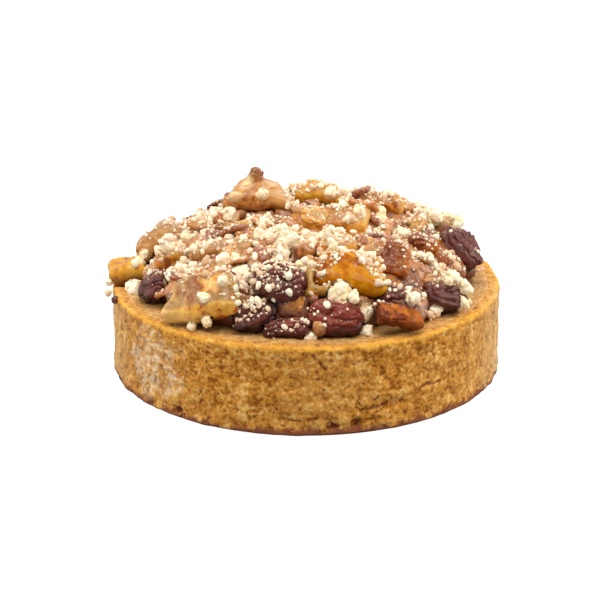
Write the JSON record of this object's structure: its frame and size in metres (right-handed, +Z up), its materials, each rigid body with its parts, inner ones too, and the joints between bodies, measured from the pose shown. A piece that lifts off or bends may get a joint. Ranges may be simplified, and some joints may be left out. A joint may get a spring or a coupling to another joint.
{
  "type": "small round apple tart with raisins and crumble",
  "caption": "Small round shortcrust tart filled with almond cream, heaped with stewed apple pieces, plump raisins and nuggets of crumble.",
  "frame": {"origin": "centre of the crust's flat underside, where the tart's axis meets what it rests on", "axes": "+Z up the tart's axis, -Y towards the side with the yellow apple wedge, +X to the right of someone who looks at that side"},
  "size_m": [0.0863, 0.0859, 0.044],
  "materials": {
    "crust": "baked shortcrust, dry and porous, golden brown",
    "almond_cream": "baked almond cream, dull olive tan",
    "compote": "stewed apple, moist, orange brown",
    "apple": "stewed apple, moist, yellow to orange brown",
    "raisin": "plumped raisin skin, dark purple brown"
  },
  "bodies": {
    "root": {"crust_shell": "crust", "almond_cream": "almond_cream", "apple_heap": "compote", "raisin_right": "raisin", "raisin_right_front": "raisin", "raisin_front": "raisin", "raisin_centre": "raisin", "raisin_left": "raisin", "raisin_front_left": "raisin", "raisin_front_low": "raisin", "raisin_beside_wedge": "raisin", "raisin_back_right": "raisin", "raisin_back_left": "raisin", "raisin_back": "raisin", "apple_front_wedge": "apple", "apple_front_left_slab": "apple", "apple_peak": "apple", "apple_back_wedge": "apple", "apple_back_right": "apple", "apple_right_shoulder": "apple", "apple_beside_raisin": "apple", "apple_front_right_slab": "apple", "apple_right_strip": "apple", "apple_middle_strip": "apple", "apple_middle_slab": "apple", "apple_wedge_wing": "apple", "apple_left_slice": "apple", "apple_left_round": "apple", "apple_left_shoulder": "apple", "apple_left_edge": "apple", "apple_back_1": "apple", "apple_back_2": "apple", "apple_back_3": "apple", "apple_back_4": "apple", "apple_back_5": "apple", "apple_back_6": "apple"}
  },
  "joints": []
}
